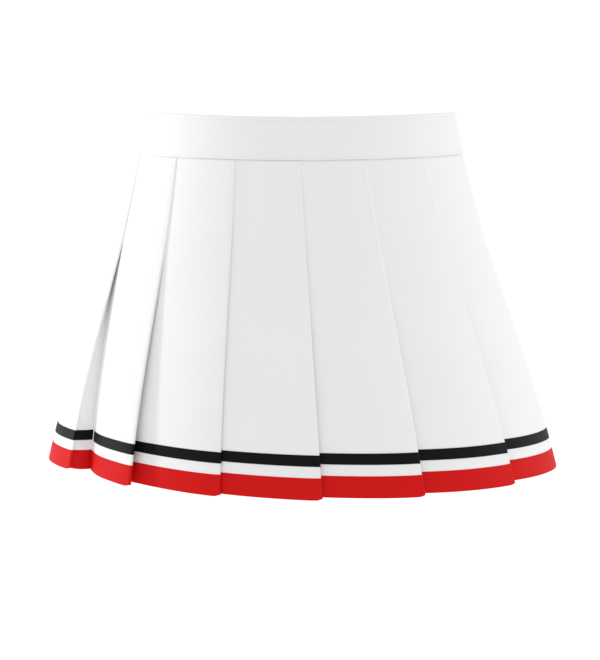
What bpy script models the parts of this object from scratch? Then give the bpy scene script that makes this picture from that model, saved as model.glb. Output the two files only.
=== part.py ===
"""Knife-pleated cheer skirt with a straight waistband and a centre-back zip.

Metres, +Z up. The origin is the middle of the waist, level with the top of the waistband at the hips.
The wearer faces -Y, so the wearer's left is +X. Round the body, a place is a fraction of the girth,
0 at the centre front and 0.25 at the wearer's left hip. Down the body it is a height, 0 at the waist.
"""

import math

import bmesh
import bpy
import numpy as np
from mathutils import Matrix, Vector

# Body of the skirt
LENGTH = 0.311
BAND_HEIGHT = 0.036
HINGE = -0.110
WAIST_DIP = 0.0042
HIP_RISE, SIDE_RISE = 0.0074, 0.0035
WIDTH_STATIONS = ((0.0, 0.1330), (-0.100, 0.1573), (-0.200, 0.1860), (-0.311, 0.2120))
WAIST_DEPTH, DEPTH_SLOPE = 0.096, 0.235
DEPTH_RATIO = 0.70

# Pleats. Bumps are (height, pleat, width) of a bell over the pleats' numbers
PLEATS = 13
BACK_SPREAD = 0.0715
CLOTH = 0.0006
OVERLAP_SEWN, OVERLAP_HEM = 0.022, 0.040
OVERLAP_BUMPS = ((-0.050, -3.0, 0.5),)
LIFT_SEAM, LIFT_HINGE, LIFT_HEM = 0.0028, 0.0042, 0.0062
LIFT_BUMPS = ((0.0135, 3.0, 1.3), (0.0100, -3.0, 0.6), (0.006, 7.5, 2.5))
OUTER_SHARE = 0.6
LEAN = 0.0172
LEAN_BUMPS = ((0.0260, -3.0, 0.85), (0.0060, 2.3, 1.3))
HEM_TILT = 0.0029
PANEL_EASE = 1.6
FOLD_RADIUS = 0.0006
FOLD_STEP = 0.0003
RETURN_END = math.radians(66)
PLEAT_GAP = 0.0010
FLARE_CLEARANCE = 0.0005

# Trim above the hem: each strip is (lowest, highest), measured up from the hem
RED_BAND = (0.0006, 0.0173)
BLACK_BRAID = (0.0264, 0.0354)
BRAID_THICK = 0.0004
TRIM_FROM_COVER, TRIM_FROM_START, TRIM_FROM_FOLD = 0.0020, 0.0030, 0.0012
GAP = 0.0003

# Waistband layers, as (inner, outer) distances from the body surface
BAND_OUTER = (0.0007, 0.0022)
BAND_ELASTIC = (-0.0006, 0.0004)
BAND_FACING = (-0.0019, -0.0009)

# Centre-back zip
BACK = 0.5
SLIT = 0.0042
TAPE_INNER_EDGE, TAPE_WIDTH = 0.0016, 0.0130
TAPE = (-0.0030, -0.0024)
TAPE_TOP, TAPE_BOTTOM = -0.0015, -0.1075
COIL_EDGES = (0.0006, 0.0025)
COIL = (-0.0021, -0.0004)
COIL_TOP, COIL_BOTTOM = -0.0070, -0.0990
SLIDER_AT = -0.0145
STOP_HALF, STOP_CLEAR = 0.0012, 0.0009
PLATE_HALF_WIDTH, PLATE_HALF_LENGTH = 0.0034, 0.0045
TOP_PLATE, BOTTOM_PLATE = (-0.0001, 0.0009), (-0.0043, -0.0034)
WEB_HALF = 0.0003
BAIL_INNER, BAIL_OUTER, BAIL_HALF, BAIL_TOP = 0.0017, 0.0026, 0.0006, 0.0048
TAB_AXIS = 0.0026
TAB_LENGTH, TAB_THICK, TAB_HALF_WIDTH, TAB_NECK, TAB_BAR = 0.018, 0.0011, 0.0026, 0.0019, 0.0005
TAB_EYE_HALF, TAB_EYE_END = 0.0010, 0.0040
TAB_NECK_END, TAB_FULL_AT = 0.0055, 0.0080

# Hook and eye above the zip, and the care label
HOOK_AT, HOOK_OUT, WIRE = -0.0035, -0.0052, 0.00035
HOOK_TURN, HOOK_BEND_AT, HOOK_TIP, HOOK_SHANK, HOOK_END = 0.0011, 0.0012, -0.0020, -0.0060, -0.0110
EYE_BAR, EYE_LEG, EYE_CORNER, EYE_NECK, EYE_END, EYE_FLARE = 0.0005, 0.0018, 0.0006, 0.0080, 0.0105, 0.0010
LABEL_TOP, LABEL_BOTTOM, LABEL_NEAR, LABEL_FAR, LABEL_THICK = -0.008, -0.028, 0.024, 0.062, 0.0004

WHITE = (0.93, 0.93, 0.94)

COLOURS = {
    "white_knit": (WHITE, 0.62, 0.0),
    "black_braid": ((0.012, 0.012, 0.014), 0.5, 0.0),
    "red_braid": ((0.62, 0.018, 0.018), 0.5, 0.0),
    "elastic": ((0.80, 0.80, 0.78), 0.8, 0.0),
    "zip_tape": ((0.90, 0.90, 0.91), 0.75, 0.0),
    "zip_coil": ((0.86, 0.86, 0.87), 0.35, 0.0),
    "slider_metal": ((0.72, 0.72, 0.74), 0.28, 1.0),
    "hook_wire": ((0.62, 0.62, 0.64), 0.3, 1.0),
    "label": ((0.88, 0.88, 0.87), 0.6, 0.0),
}


def ellipse_table():
    """Girth fraction against angle on the body's ellipse, and the girth of one of unit half width."""
    angles = np.linspace(0.0, 2 * math.pi, 2049)
    middles = (angles[1:] + angles[:-1]) / 2
    steps = np.hypot(np.cos(middles), DEPTH_RATIO * np.sin(middles)) * np.diff(angles)
    lengths = np.concatenate([[0.0], np.cumsum(steps)])
    return angles, lengths / lengths[-1], lengths[-1]


ANGLES, FRACTIONS, UNIT_GIRTH = ellipse_table()
WIDTH_CURVE = np.poly1d(np.polyfit(*zip(*WIDTH_STATIONS), 3))


def girth(z):
    return WIDTH_CURVE(z) * UNIT_GIRTH


def angle_of(place):
    turns = np.floor(place)
    return 2 * math.pi * turns + np.interp(place - turns, FRACTIONS, ANGLES)


def half_depth(z):
    return WAIST_DEPTH - DEPTH_SLOPE * np.asarray(z)


def surface(place, z, out, shift=0.0):
    """Points at a girth fraction and a height, pushed out level from the body, as an array (..., 3)."""
    place, z, out, shift = np.broadcast_arrays(place, z, out, shift)
    t = angle_of(place)
    a, b = WIDTH_CURVE(z), half_depth(z)
    normal = np.stack([b * np.sin(t), -a * np.cos(t)], -1)
    normal /= np.linalg.norm(normal, axis=-1, keepdims=True)
    x = a * np.sin(t) + out * normal[..., 0]
    y = -b * np.cos(t) + out * normal[..., 1]
    dipped = z - WAIST_DIP * np.cos(t) ** 2 * (1 + z / LENGTH) + shift
    return np.stack([x, y, dipped], -1)


def below(z, top):
    """0 at a height, rising evenly to 1 at the hem."""
    return np.clip((top - z) / (top + LENGTH), 0.0, 1.0)


def bell(k, centre, width):
    """A bump of height 1 over pleat numbers near a centre, the numbers running round the skirt."""
    away = (k - centre + PLEATS / 2) % PLEATS - PLEATS / 2
    return math.exp(-((away / width) ** 2))


def bumps(k, rows):
    """The sum of bells at pleat k, from rows of (height, centre, width)."""
    return sum(height * bell(k, centre, width) for height, centre, width in rows)


def fold_place(k, z):
    """Girth fraction of pleat k's outer fold."""
    even = k / PLEATS - BACK_SPREAD * math.sin(2 * math.pi * k / PLEATS) / (2 * math.pi)
    return even + (LEAN + bumps(k, LEAN_BUMPS)) * below(z, -BAND_HEIGHT) / girth(z)


def overlap(k, z):
    """How far pleat k's inner fold lies behind its outer fold, and below 0 where the pleat hangs open."""
    hem = OVERLAP_HEM + bumps(k, OVERLAP_BUMPS)
    return OVERLAP_SEWN + (hem - OVERLAP_SEWN) * below(z, HINGE)


def lift(k, z):
    """How far pleat k's outer fold stands out from the inner fold behind it."""
    hem = LIFT_HEM + bumps(k, LIFT_BUMPS)
    sewn = LIFT_SEAM + (LIFT_HINGE - LIFT_SEAM) * np.clip((z + BAND_HEIGHT) / (HINGE + BAND_HEIGHT), 0, 1)
    return sewn + (hem - LIFT_HINGE) * below(z, HINGE)


def valley(k, z):
    """(place, out) of the inner fold behind pleat k's outer fold."""
    return fold_place(k, z) - overlap(k, z) / girth(z), -(1 - OUTER_SHARE) * lift(k, z)


def panel(k, share, z):
    """(place, out) on panel k, from its hidden start at share 0 to its outer fold at share 1."""
    start_place, start_out = valley(k - 1, z)
    end_place, end_out = fold_place(k, z), OUTER_SHARE * lift(k, z)
    eased = 1 - (1 - share) ** PANEL_EASE
    return start_place + (end_place - start_place) * share, start_out + (end_out - start_out) * eased


def hem_shift(place, share, z):
    """How far the cloth's lower part is moved up: most at the right hip, less towards a panel's fold."""
    across = np.sin(angle_of(place))
    rise = HIP_RISE * across ** 2 - SIDE_RISE * across
    return (rise - HEM_TILT * (share - 0.5)) * below(z, HINGE) ** 2


def make_object(name, points, faces, slot):
    mesh = bpy.data.meshes.new(name)
    mesh.from_pydata([tuple(p) for p in points], [], faces)
    mesh.update()
    build = bmesh.new()
    build.from_mesh(mesh)
    bmesh.ops.recalc_face_normals(build, faces=build.faces)
    build.to_mesh(mesh)
    build.free()
    mesh.shade_smooth()
    mesh.set_sharp_from_angle(angle=math.radians(35))
    return place_object(name, mesh, slot)


def place_object(name, mesh, slot):
    made = bpy.data.objects.new(name, mesh)
    made.data.materials.append(material(slot))
    bpy.context.scene.collection.objects.link(made)
    return made


def material(slot):
    if slot in bpy.data.materials:
        return bpy.data.materials[slot]
    made = bpy.data.materials.new(slot)
    made.use_nodes = True
    colour, roughness, metallic = COLOURS[slot]
    shader = made.node_tree.nodes["Principled BSDF"]
    shader.inputs["Base Color"].default_value = (*colour, 1.0)
    shader.inputs["Roughness"].default_value = roughness
    shader.inputs["Metallic"].default_value = metallic
    made.diffuse_color = (*colour, 1.0)
    return made


def skin_solid(name, outer, inner, slot):
    """A closed solid between two grids of points, each (rows down, points round, 3)."""
    rows, count = outer.shape[:2]
    loop = np.concatenate([outer, inner[:, ::-1]], 1)
    around = 2 * count
    faces = []
    for first in range(0, (rows - 1) * around, around):
        for i in range(around):
            j = (i + 1) % around
            faces.append((first + i, first + j, first + around + j, first + around + i))
    for first in (0, (rows - 1) * around):
        for i in range(count - 1):
            far = around - 1 - i
            faces.append((first + i, first + i + 1, first + far - 1, first + far))
    return make_object(name, loop.reshape(-1, 3), faces, slot)


def band_solid(name, places, heights, layer, slot):
    """A band round the body between two distances from it."""
    z = np.asarray(heights)[:, None]
    outer, inner = (surface(places[None, :], z, out) for out in (layer[1], layer[0]))
    return skin_solid(name, outer, inner, slot)


def back_place(x, z=0.0):
    """Girth fraction of the point a distance x to the +X side of the centre back."""
    return BACK - x / girth(z)


def build_waistband():
    edge = SLIT / girth(-BAND_HEIGHT / 2)
    places = np.linspace(-BACK + edge, BACK - edge, 65)
    heights = (0.0, -BAND_HEIGHT / 2, -BAND_HEIGHT)
    inset = (-0.0012, -BAND_HEIGHT / 2, -BAND_HEIGHT + 0.0012)
    band_solid("waistband_outer", places, heights, BAND_OUTER, "white_knit")
    band_solid("waistband_elastic", places, inset, BAND_ELASTIC, "elastic")
    band_solid("waistband_facing", places, heights, BAND_FACING, "white_knit")


def yoke_outline(first, last, z, low, high):
    """Outer (places, outs) of the stitched-down panels first to last, between two places round the body."""
    places, outs = [], []
    for k in range(first, last + 1):
        start, end = valley(k - 1, z)[0], fold_place(k, z)
        covered = max(fold_place(k - 1, z) + FOLD_STEP / girth(z), low)
        shares = (np.linspace(covered, min(end, high), 6) - start) / (end - start)
        panel_places, panel_outs = panel(k, shares, z)
        places.append(panel_places)
        outs.append(panel_outs)
    return np.concatenate(places), np.concatenate(outs)


def build_yoke_part(name, first, last, low, high):
    rows = []
    inner_out = -(1 - OUTER_SHARE) * LIFT_HINGE - CLOTH / 2
    for z in np.linspace(-BAND_HEIGHT - GAP, HINGE, 5):
        places, outs = yoke_outline(first, last, z, low(z), high(z))
        rows.append((surface(places, z, outs + CLOTH / 2), surface(places, z, inner_out)))
    outer, inner = (np.array(side) for side in zip(*rows))
    return skin_solid(name, outer, inner, "white_knit")


def build_yoke():
    """The heads of the pleats, stitched flat between the waistband and the height where they open."""
    half = PLEATS // 4
    margin = GAP / girth(HINGE)
    slit = SLIT / girth(-BAND_HEIGHT)

    def fold_edge(k, side):
        return lambda z: fold_place(k, z) + side * margin

    build_yoke_part("yoke_front", -half + 1, half, fold_edge(-half, 1), fold_edge(half, -1))
    build_yoke_part("yoke_back_left", half + 1, half + 4, fold_edge(half, 1), lambda z: BACK - slit)
    build_yoke_part("yoke_back_right", -half - 3, -half, lambda z: slit - BACK, fold_edge(-half, -1))


def gore_line(k, z):
    """Middle line of pleat k's cloth as (arc, out, share): hidden start, panel, rounded fold and return."""
    shares = np.linspace(0.0, 1.0, 10)
    places, outs = panel(k, shares, z)
    size = girth(z)
    arcs = places * size
    arcs[-1] -= FOLD_RADIUS
    turn = np.radians([60, 0, -60])
    fold_arc, fold_out = arcs[-1], OUTER_SHARE * lift(k, z) - FOLD_RADIUS
    back = np.linspace(0.0, RETURN_END, 4)
    depth = lift(k, z) - 2 * FOLD_RADIUS
    inner_out = -(1 - OUTER_SHARE) * lift(k, z)
    turn_arcs, turn_outs = fold_arc + FOLD_RADIUS * np.cos(turn), fold_out + FOLD_RADIUS * np.sin(turn)
    back_arcs, back_outs = fold_arc - overlap(k, z) * np.sin(back) ** 2, inner_out + depth * np.cos(back)
    arcs, outs = np.concatenate([arcs, turn_arcs, back_arcs]), np.concatenate([outs, turn_outs, back_outs])
    shares = np.concatenate([shares, np.ones(len(turn) + len(back))])
    return arcs, outs, shares


def build_pleat(number, k):
    rows = []
    for z in np.linspace(HINGE - PLEAT_GAP, -LENGTH, 7):
        arcs, outs, shares = gore_line(k, z)
        along = np.stack([np.gradient(arcs), np.gradient(outs)])
        along /= np.linalg.norm(along, axis=0)
        shift = hem_shift(arcs / girth(z), shares, z)
        sides = [
            surface((arcs - side * along[1]) / girth(z), z, outs + side * along[0], shift)
            for side in (CLOTH / 2, -CLOTH / 2)
        ]
        rows.append(sides)
    outer, inner = (np.array(side) for side in zip(*rows))
    return skin_solid(f"pleat_{number:02d}", outer, inner, "white_knit")


def build_trim(name, number, k, strip, slot):
    """A strip of braid on panel k's face, from beside the fold that covers its start to its own fold."""
    low, high = strip
    rows = []
    for up in np.linspace(high, low, 3):
        z = -LENGTH + up
        start = valley(k - 1, z)[0]
        span = fold_place(k, z) - start
        shown = max(fold_place(k - 1, z) + TRIM_FROM_COVER / girth(z) - start, TRIM_FROM_START / girth(z))
        first = shown / span
        last = 1 - TRIM_FROM_FOLD / girth(z) / span
        shares = np.linspace(first, last, 8)
        places, outs = panel(k, shares, z)
        shift = hem_shift(places, shares, z)
        near = outs + CLOTH / 2 + GAP
        rows.append((surface(places, z, near + BRAID_THICK, shift), surface(places, z, near, shift)))
    outer, inner = (np.array(side) for side in zip(*rows))
    return skin_solid(f"{name}_{number:02d}", outer, inner, slot)


def back_frame(z):
    """Frame at the centre back: x to +X, y down the slope of the skirt and z straight out of it."""
    middle = Vector(surface(BACK, z, 0.0))
    down = (Vector(surface(BACK, z - 0.01, 0.0)) - middle).normalized()
    across = Vector((1, 0, 0))
    out = across.cross(down).normalized()
    if out.y < 0:
        out = -out
    return Matrix.Translation(middle) @ Matrix((across, down, out)).transposed().to_4x4()


def add_box(build, low, high):
    size = Vector(high) - Vector(low)
    middle = (Vector(high) + Vector(low)) / 2
    bmesh.ops.create_cube(build, size=1.0, matrix=Matrix.Translation(middle) @ Matrix.Diagonal((*size, 1)))


def finish_mesh(build, name, slot):
    mesh = bpy.data.meshes.new(name)
    build.to_mesh(mesh)
    build.free()
    return place_object(name, mesh, slot)


def add_boolean(made, other, operation):
    change = made.modifiers.new(other.name, "BOOLEAN")
    change.operation = operation
    change.object = other
    other.hide_render = True
    other.display_type = "WIRE"


def boxes_object(name, boxes, slot, z):
    """Boxes in the centre-back frame at a height, joined into one solid."""
    pieces = []
    for number, box in enumerate(boxes):
        build = bmesh.new()
        add_box(build, *box)
        pieces.append(finish_mesh(build, f"{name}_add_{number}" if number else name, slot))
        pieces[-1].matrix_world = back_frame(z)
    for other in pieces[1:]:
        add_boolean(pieces[0], other, "UNION")


def wire_object(name, points, radius, slot):
    curve = bpy.data.curves.new(name, "CURVE")
    curve.dimensions = "3D"
    spline = curve.splines.new("POLY")
    spline.points.add(len(points) - 1)
    for target, point in zip(spline.points, points):
        target.co = (*point, 1.0)
    curve.bevel_depth = radius
    curve.bevel_resolution = 1
    curve.use_fill_caps = True
    return place_object(name, curve, slot)


def zip_strip(name, side, edges, layer, ends):
    """A flat strip down one side of the zip, between two distances from its middle."""
    heights = np.linspace(*ends, 4)[:, None]
    places = back_place(side * np.linspace(*edges, 4)[None, :], heights)
    outer, inner = (surface(places, heights, out) for out in (layer[1], layer[0]))
    skin_solid(name, outer, inner, name.rsplit("_", 1)[0])


def zip_stop(name, left, right, z):
    boxes_object(name, [((left, -STOP_HALF, COIL[0]), (right, STOP_HALF, COIL[1]))], "slider_metal", z)


def build_zip():
    tape_edges = (TAPE_INNER_EDGE, TAPE_INNER_EDGE + TAPE_WIDTH)
    for side, word in ((1, "left"), (-1, "right")):
        zip_strip(f"zip_tape_{word}", side, tape_edges, TAPE, (TAPE_TOP, TAPE_BOTTOM))
        zip_strip(f"zip_coil_{word}", side, COIL_EDGES, COIL, (COIL_TOP, COIL_BOTTOM))
        left, right = sorted(side * edge for edge in COIL_EDGES)
        zip_stop(f"zip_top_stop_{word}", left, right, COIL_TOP + STOP_HALF + STOP_CLEAR)
    zip_stop("zip_bottom_stop", -COIL_EDGES[1], COIL_EDGES[1], COIL_BOTTOM - STOP_HALF - STOP_CLEAR)
    build_slider()
    build_pull_tab()


def build_slider():
    """Two plates joined by a web between the coils, with a bail along the top plate for the pull tab."""
    half, long = PLATE_HALF_WIDTH, PLATE_HALF_LENGTH
    sunk = 0.0003
    boxes = [
        ((-half, -long, TOP_PLATE[0]), (half, long, TOP_PLATE[1])),
        ((-half, -long, BOTTOM_PLATE[0]), (half, long, BOTTOM_PLATE[1])),
        ((-WEB_HALF, 0.001 - long, BOTTOM_PLATE[0] + sunk), (WEB_HALF, 0.003 - long, TOP_PLATE[1] - sunk)),
    ]
    for side in (-1, 1):
        low, high = sorted((side * BAIL_INNER, side * BAIL_OUTER))
        boxes.append(((-BAIL_HALF, low, TOP_PLATE[1] - sunk), (BAIL_HALF, high, BAIL_TOP)))
    strap_half, strap_end = BAIL_HALF - 0.0001, BAIL_OUTER - 0.0002
    boxes.append(((-strap_half, -strap_end, BAIL_TOP - 0.0008), (strap_half, strap_end, BAIL_TOP - 0.0001)))
    boxes_object("zip_slider", boxes, "slider_metal", SLIDER_AT)


def tab_outline():
    """The pull tab's outline in its own plane, from the bar under the bail to its rounded tip."""
    half, end = TAB_HALF_WIDTH, TAB_LENGTH - TAB_HALF_WIDTH
    tip = [(half * math.cos(a), end + half * math.sin(a)) for a in np.linspace(0, math.pi, 9)]
    neck = [
        (-TAB_NECK, TAB_NECK_END), (-TAB_NECK, -TAB_BAR), (TAB_NECK, -TAB_BAR), (TAB_NECK, TAB_NECK_END),
    ]
    return neck + [(half, TAB_FULL_AT), *tip, (-half, TAB_FULL_AT)]


def build_pull_tab():
    """A flat tab whose eye lets the bail through, hanging down the zip. Its origin is on its bar's axis."""
    bar_axis = back_frame(SLIDER_AT) @ Matrix.Translation((0, 0, TAB_AXIS))
    build = bmesh.new()
    bottom = [build.verts.new((x, y, -TAB_THICK / 2)) for x, y in tab_outline()]
    face = build.faces.new(bottom)
    grown = bmesh.ops.extrude_face_region(build, geom=[face])["geom"]
    moved = [item for item in grown if isinstance(item, bmesh.types.BMVert)]
    bmesh.ops.translate(build, vec=(0, 0, TAB_THICK), verts=moved)
    bmesh.ops.recalc_face_normals(build, faces=build.faces)
    tab = finish_mesh(build, "zip_pull_tab", "slider_metal")
    tab.matrix_world = bar_axis
    build = bmesh.new()
    add_box(build, (-TAB_EYE_HALF, TAB_BAR, -0.003), (TAB_EYE_HALF, TAB_EYE_END, 0.003))
    cutter = finish_mesh(build, "tab_eye_cutter", "slider_metal")
    cutter.matrix_world = bar_axis
    add_boolean(tab, cutter, "DIFFERENCE")


def build_hook_and_eye():
    """A bent-wire hook on the wearer's right, caught in the wire eye on the wearer's left."""
    frame = back_frame(HOOK_AT)
    low = HOOK_OUT - 2 * HOOK_TURN
    bend = [
        (HOOK_BEND_AT + HOOK_TURN * math.cos(a), 0, HOOK_OUT + HOOK_TURN * (math.sin(a) - 1))
        for a in np.radians((60, 20, -20, -60, -90))
    ]
    shank = [(x, 0, HOOK_OUT) for x in (HOOK_END, HOOK_SHANK, HOOK_BEND_AT - 0.4 * HOOK_TURN)]
    hook = [*shank, *bend, (HOOK_TIP, 0, low)]
    middle = HOOK_OUT - HOOK_TURN
    leg = [
        (EYE_END, EYE_LEG + EYE_FLARE, middle), (EYE_NECK, EYE_LEG, middle),
        (EYE_BAR + EYE_CORNER, EYE_LEG, middle), (EYE_BAR, EYE_LEG - EYE_CORNER, middle),
    ]
    eye = leg + [(x, -y, z) for x, y, z in reversed(leg)]
    for name, points in (("waist_hook", hook), ("waist_eye", eye)):
        wire_object(name, [frame @ Vector(point) for point in points], WIRE, "hook_wire")


def build_label():
    z = np.linspace(LABEL_TOP, LABEL_BOTTOM, 3)[:, None]
    places = back_place(np.linspace(LABEL_NEAR, LABEL_FAR, 7)[None, :], z)
    out = BAND_FACING[0] - GAP
    skin_solid("blank_label", surface(places, z, out), surface(places, z, out - LABEL_THICK), "label")


def pleat_number(k):
    """Pleat 1 has its outer fold at the centre front, and the numbers run towards the wearer's left."""
    return k % PLEATS + 1


def hinge_of(k):
    """(point, axis) of the line where pleat k swings out: its top, at the middle of the panel's face."""
    place = (fold_place(k - 1, HINGE) + fold_place(k, HINGE)) / 2
    point = Vector(surface(place, HINGE, OUTER_SHARE * LIFT_HINGE + FLARE_CLEARANCE))
    t = float(angle_of(np.array(place)))
    out = Vector((half_depth(HINGE) * math.sin(t), -WIDTH_CURVE(HINGE) * math.cos(t), 0.0)).normalized()
    return point, out.cross(Vector((0, 0, 1)))


def hang_pleat(number, k, pieces):
    """Parents a pleat's pieces to an empty on its hinge line."""
    point, axis = hinge_of(k)
    empty = bpy.data.objects.new(f"hinge_{number:02d}", None)
    empty.location = point
    empty.rotation_euler = axis.to_track_quat("X", "Z").to_euler()
    bpy.context.scene.collection.objects.link(empty)
    bpy.context.view_layer.update()
    for piece in pieces:
        piece.parent = empty
        piece.matrix_parent_inverse = empty.matrix_world.inverted()


def main():
    for old in list(bpy.data.objects):
        bpy.data.objects.remove(old)
    build_waistband()
    build_yoke()
    for k in range(PLEATS):
        number = pleat_number(k)
        pieces = [
            build_pleat(number, k),
            build_trim("black_braid", number, k, BLACK_BRAID, "black_braid"),
            build_trim("red_hem_band", number, k, RED_BAND, "red_braid"),
        ]
        hang_pleat(number, k, pieces)
    build_zip()
    build_hook_and_eye()
    build_label()


if __name__ == "__main__":
    main()
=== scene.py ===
"""Looks of a knife-pleated cheer skirt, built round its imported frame.

Metres, +Z up, the wearer facing -Y. A place round the body is a fraction of the girth, 0 at the centre
front and 0.25 at the wearer's left hip. A height is 0 at the waist and falls to the hem. "out" is the
level distance from the body's own surface, which is an ellipse at each height.
"""

import math

import bpy
import numpy as np
from mathutils import Matrix, Vector


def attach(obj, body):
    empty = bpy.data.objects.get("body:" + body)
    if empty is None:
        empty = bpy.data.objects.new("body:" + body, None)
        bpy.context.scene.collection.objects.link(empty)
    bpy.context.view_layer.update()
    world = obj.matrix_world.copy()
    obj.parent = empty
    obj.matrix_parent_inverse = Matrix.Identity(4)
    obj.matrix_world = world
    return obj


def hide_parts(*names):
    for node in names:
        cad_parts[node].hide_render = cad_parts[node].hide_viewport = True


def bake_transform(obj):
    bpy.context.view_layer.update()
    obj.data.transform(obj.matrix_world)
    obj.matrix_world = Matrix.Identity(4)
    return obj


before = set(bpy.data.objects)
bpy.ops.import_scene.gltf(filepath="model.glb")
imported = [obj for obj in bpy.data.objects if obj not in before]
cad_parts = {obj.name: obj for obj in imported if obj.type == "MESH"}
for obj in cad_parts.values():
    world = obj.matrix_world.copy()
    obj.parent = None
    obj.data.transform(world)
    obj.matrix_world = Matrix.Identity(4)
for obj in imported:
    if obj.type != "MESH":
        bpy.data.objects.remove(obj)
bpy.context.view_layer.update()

bl_info = {
    "name": "Pleated cheer skirt",
    "version": (1, 0, 0),
    "blender": (4, 5, 0),
    "location": "3D View > Sidebar > Skirt",
    "description": "Builds the cloth, trim, zip and stitching of a knife-pleated cheer skirt",
    "category": "Add Mesh",
}

TOP = "skirt_top"

# The body that the skirt hangs on, the same as the frame's. A station is (height, half width)
LENGTH = 0.311
BAND_HEIGHT = 0.036
HINGE = -0.110
WAIST_DIP = 0.0042
HIP_RISE, SIDE_RISE = 0.0074, 0.0035
WIDTH_STATIONS = ((0.0, 0.1330), (-0.100, 0.1573), (-0.200, 0.1860), (-0.311, 0.2120))
WAIST_DEPTH, DEPTH_SLOPE = 0.096, 0.235
DEPTH_RATIO = 0.70

# How the pleats lie. Bumps are (height, pleat, width) of a bell over the pleats. The loose, pressed, tilt
# and soon ones are this cloth's own, and the rest follow the frame's solids to within a few millimetres
PLEATS = 13
BACK_SPREAD = 0.0715
OVERLAP_SEWN, OVERLAP_HEM = 0.022, 0.040
OVERLAP_BUMPS = ((-0.044, -3.0, 0.5),)
SOON_BUMPS = ((0.62, -3.0, 0.4),)
LIFT_SEAM, LIFT_HINGE, LIFT_HEM = 0.0028, 0.0042, 0.0062
LIFT_BUMPS = ((0.0135, 3.0, 1.3), (0.0100, -3.0, 0.6), (0.006, 7.5, 2.5))
LOOSE_BUMPS = ((0.0070, -2.0, 0.5), (0.0055, 0.6, 1.9))
PRESSED_BUMPS = ((-0.0013, -2.5, 0.9),)
OUTER_SHARE = 0.6
LEAN = 0.0172
LEAN_BUMPS = ((0.0260, -3.0, 0.85), (0.0060, 2.3, 1.3))
HEM_TILT = 0.0029
TILT_BUMPS = ((-0.0065, -3.0, 0.5),)
PANEL_EASE = 1.6
FOLD_RADIUS = 0.0009

# One pleat's cloth: its columns, its tail behind the next panel, and its soft shapes
PANEL_COLUMNS, TURN_COLUMNS, RETURN_COLUMNS, TAIL_COLUMNS = 42, 7, 18, 5
COLUMN_EASE = 1.25
SEWN_ROWS, FREE_ROWS = 8, 96
TAIL, TAIL_DROP = 0.006, 0.0010
TAIL_BUMPS = ((0.026, -3.0, 0.5),)
CORNER_RISE, CORNER_RADIUS, CORNER_HEIGHT = 0.0013, 0.0016, 0.03
TUCK, PRESS_LENGTH, PRESS_LEAST = 0.0004, 0.0026, 0.12
SWAY, SWAY_TURN = 0.0007, 1.7
BRAID_THICK, BRAID_GAP = 0.0003, 0.00002
STITCH_REACH = 0.01

# Waistband layers, as (inner, outer) distances from the body, and their shaping
BAND_OUTER = (0.0007, 0.0022)
BAND_FACING = (-0.0019, -0.0009)
FACING_TOP = -0.0004
SWELL, GROOVE, GROOVE_WIDTH = 0.00012, 0.00028, 0.0006
BAND_EDGE_STITCH, BAND_SEAM_STITCH = 0.0034, 0.0020

# Stitching beside the folds and the zip, and the rows on the hem as (height, name, slot, finish)
FOLD_STITCH_IN, ZIP_STITCH_OUT = 0.0030, 0.0020
HEM_ROWS = ((0.0128, "red", "red_braid", "red_thread"), (0.0236, "white", "white_knit", "thread"))

# Centre-back zip, with depths measured out from the body
BACK = 0.5
BACK_PLEAT = 7
SLIT = 0.0042
SLIT_BOTTOM = -0.1080
SLIT_COLUMN = 20
TAPE = (-0.0030, -0.0024)
TAPE_EDGES = (0.0016, 0.0146)
TAPE_TOP, TAPE_BOTTOM = -0.0015, -0.1075
COIL_TOP, COIL_BOTTOM = -0.0070, -0.0990
COIL_PITCH, COIL_WIRE, COIL_STEPS = 0.0013, 0.00026, 12
COIL_MIDDLE, COIL_HALF_WIDTH, COIL_HALF_THICK, COIL_OUT = 0.00142, 0.00080, 0.00062, -0.00125
TAPE_COLUMNS, TAPE_ROWS = 27, 120
RIDGE_IN, RIDGE_HEIGHT, RIDGE_WIDTH = 0.0012, 0.00018, 0.0004
SLIDER_AT = -0.0145
SLIDER_HALF, SLIDER_LONG, SLIDER_TAPER, PLATE_BEVEL = 0.0033, 0.0045, 0.12, 0.00035
SLIDER_TOP, SLIDER_BACK, SLIDER_WEB = (-0.0001, 0.0009), (-0.0043, -0.0034), (-0.0036, 0.0002)
WEB_HALF, WEB_LONG, WEB_DOWN, WEB_BEVEL = 0.00028, 0.0010, -0.0025, 0.0001
BAIL_LONG, BAIL_FOOT, BAIL_RISE, BAIL_SECTION = 0.0021, 0.0008, 0.0036, (0.00055, 0.00035)
TAB_OUT, TAB_THICK, TAB_BEVEL = 0.0026, 0.0011, 0.0003
TAB_MIDDLE, TAB_LONG, TAB_HALF, TAB_GROWTH = 0.00875, 0.00925, 0.0019, 0.0007
TAB_EYE_MIDDLE, TAB_EYE_LONG, TAB_EYE_HALF = 0.00225, 0.00175, 0.00105
STOP_DEPTH, STOP_BEVEL = (-0.0021, -0.0004), 0.0003
TOP_STOP, TOP_STOP_ACROSS, TOP_STOP_UP = (0.00095, 0.0011), 0.00155, 0.0016
BOTTOM_STOP, BOTTOM_STOP_DOWN = (0.0025, 0.0013), 0.0018

# Hook, eye and care label
HOOK_AT, HOOK_OUT, WIRE = -0.0035, -0.0052, 0.00035
HOOK_BEND, HOOK_NOSE, HOOK_RETURN = 0.0011, 0.0012, -0.0020
HOOK_SHANK = (-0.0110, -0.0060, 0.0008)
EYE_BAR, EYE_LEG, EYE_FEET = 0.0005, 0.0018, (0.0105, 0.0080)
LABEL_TOP, LABEL_BOTTOM = -0.008, -0.028
LABEL_NEAR, LABEL_FAR = 0.024, 0.062
LABEL_GAP, LABEL_THICK, LABEL_CURL = 0.0003, 0.00025, 0.0006

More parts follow.
